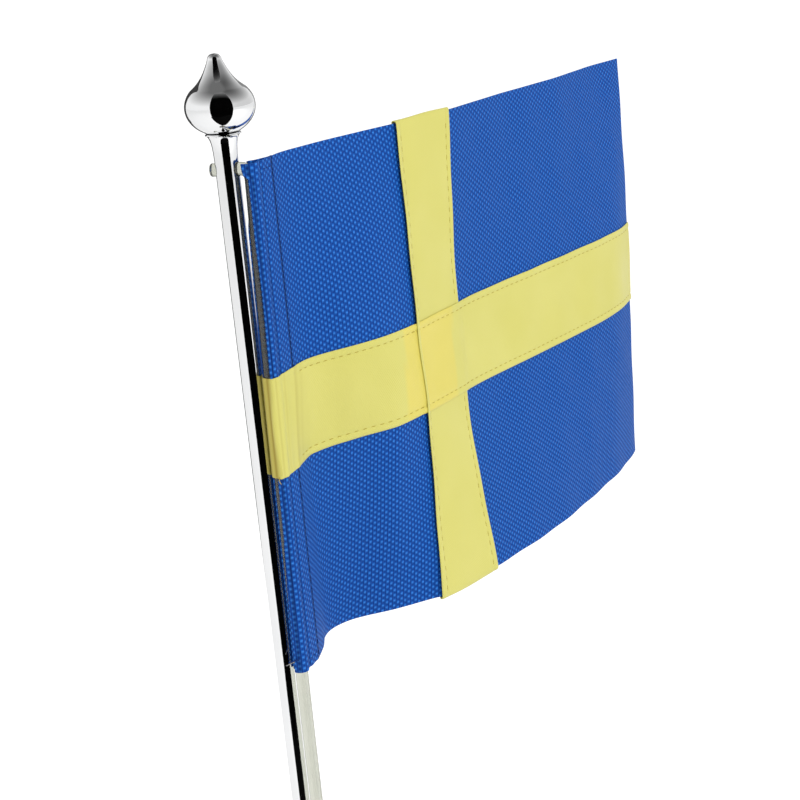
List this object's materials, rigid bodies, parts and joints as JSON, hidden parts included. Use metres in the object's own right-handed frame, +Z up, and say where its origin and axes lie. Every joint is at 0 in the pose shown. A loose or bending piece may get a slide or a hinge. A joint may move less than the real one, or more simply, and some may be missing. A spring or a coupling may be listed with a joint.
{
  "type": "desk flag stand",
  "caption": "Weighted round foot with a thin polished pole and onion finial, a clear plastic rod beside the pole, and a small waved cloth flag with crossed ribbons on a sleeve.",
  "frame": {"origin": "middle of the foot's flat underside, on the pole's axis", "axes": "+Z up the pole. +X and +Y lie in the surface it stands on; the flag leaves the pole 57 degrees from +X towards +Y, and the rod is beside the pole on its +X side"},
  "size_m": [0.1496, 0.1886, 0.4],
  "materials": {
    "polished_metal": "mirror polished plating",
    "fastener_steel": "zinc plated",
    "weight_iron": "black, as cast",
    "felt": "dense felt",
    "clear_plastic": "milky translucent, smooth",
    "blue_cloth": "coarse woven polyester",
    "yellow_satin": "satin ribbon, soft sheen"
  },
  "bodies": {
    "stand": {"base_pad": "felt", "base_weight": "weight_iron", "base_cover": "polished_metal", "base_washer": "fastener_steel", "base_screw": "fastener_steel", "pole": "polished_metal", "finial_stud": "fastener_steel", "finial": "polished_metal", "flag_rod": "clear_plastic"},
    "sleeve": {"flag_sleeve": "blue_cloth", "sleeve_ribbon": "yellow_satin"},
    "flag": {"flag_panel": "blue_cloth", "ribbon_upright": "yellow_satin", "ribbon_level": "yellow_satin"}
  },
  "joints": [
    {"name": "flag_hoist", "type": "slide", "parent": "stand", "child": "sleeve", "axis": [0, 0, 1], "range_m": [-0.175, 0]},
    {"name": "flag_swing", "type": "hinge", "parent": "sleeve", "child": "flag", "pos_m": [0.00802, 0.003, 0.3], "axis": [0, 0, 1], "range_deg": [-110, 75]}
  ]
}
